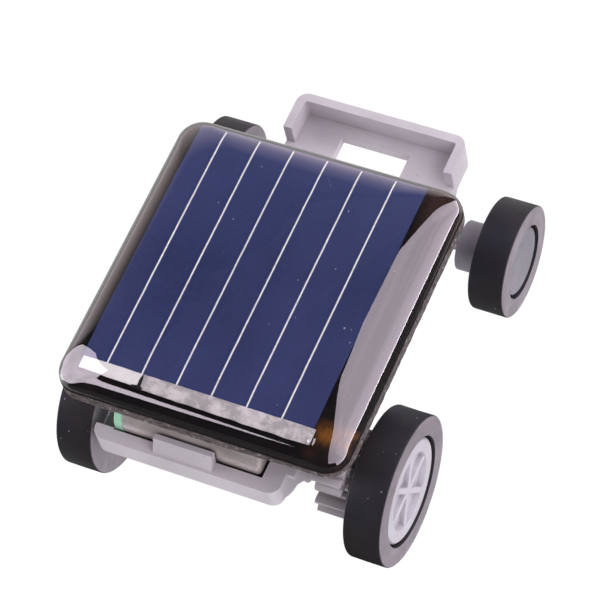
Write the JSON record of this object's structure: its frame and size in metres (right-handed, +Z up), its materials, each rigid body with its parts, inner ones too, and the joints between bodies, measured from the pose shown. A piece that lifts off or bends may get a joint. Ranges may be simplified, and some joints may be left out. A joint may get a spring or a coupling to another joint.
{
  "type": "solar toy car",
  "caption": "Miniature solar car: potted solar panel on a grey chassis, small motor geared to the rear axle, rubber-tyred wheels that turn.",
  "frame": {"origin": "on the ground, below the centre of the car's outer box", "axes": "+X to the car's right along the axles, +Y forward, +Z up"},
  "size_m": [0.0224, 0.0285, 0.0139],
  "materials": {
    "chassis_plastic": "moulded grey polystyrene, satin",
    "hub_plastic": "moulded pale grey plastic, satin",
    "gear_plastic": "moulded grey acetal",
    "rubber": "smooth black rubber",
    "board": "dark laminate with a rough cut edge",
    "silicon": "deep blue monocrystalline silicon",
    "silver_line": "printed silver line",
    "tinned_ribbon": "tinned copper ribbon",
    "solder": "bright solder",
    "resin": "clear potting resin, glossy",
    "foam": "double-sided foam tape",
    "red_wire": "insulated wire",
    "black_wire": "insulated wire",
    "can_steel": "plated steel can",
    "green_plastic": "pale green moulded plastic",
    "bronze": "bronze",
    "magnet": "ferrite",
    "shaft_steel": "ground steel",
    "copper": "enamelled copper"
  },
  "bodies": {
    "chassis": {"chassis": "chassis_plastic", "panel_board": "board", "solar_cell": "silicon", "cell_fingers": "silver_line", "bus_ribbon": "tinned_ribbon", "ribbon_solder": "solder", "panel_resin": "resin", "foam_pads": "foam", "panel_terminals": "solder", "positive_lead": "red_wire", "negative_lead": "black_wire", "motor_can": "can_steel", "motor_end_cap": "green_plastic", "motor_bush": "bronze", "field_magnet": "magnet", "motor_brushes": "bronze", "motor_terminals": "bronze"},
    "rear_wheels": {"rear_axle": "shaft_steel", "drive_gear": "gear_plastic", "rear_hub_left": "hub_plastic", "rear_hub_right": "hub_plastic", "rear_tyre_left": "rubber", "rear_tyre_right": "rubber"},
    "front_wheels": {"front_axle": "shaft_steel", "front_hub_left": "hub_plastic", "front_hub_right": "hub_plastic", "front_tyre_left": "rubber", "front_tyre_right": "rubber"},
    "motor_rotor": {"motor_shaft": "shaft_steel", "motor_pinion": "gear_plastic", "rotor_coil": "copper", "commutator": "copper"}
  },
  "joints": [
    {"name": "rear_axle_spin", "type": "hinge", "parent": "chassis", "child": "rear_wheels", "pos_m": [0, -0.00935, 0.0049], "axis": [1, 0, 0], "continuous": true},
    {"name": "front_axle_spin", "type": "hinge", "parent": "chassis", "child": "front_wheels", "pos_m": [0, 0.00875, 0.00374], "axis": [1, 0, 0], "continuous": true},
    {"name": "rotor_spin", "type": "hinge", "parent": "chassis", "child": "motor_rotor", "pos_m": [0, -0.0109, 0.00848], "axis": [1, 0, 0], "continuous": true}
  ],
  "couplings": [
    {"joint": "rotor_spin", "follows": "rear_axle_spin", "ratio": -2}
  ]
}
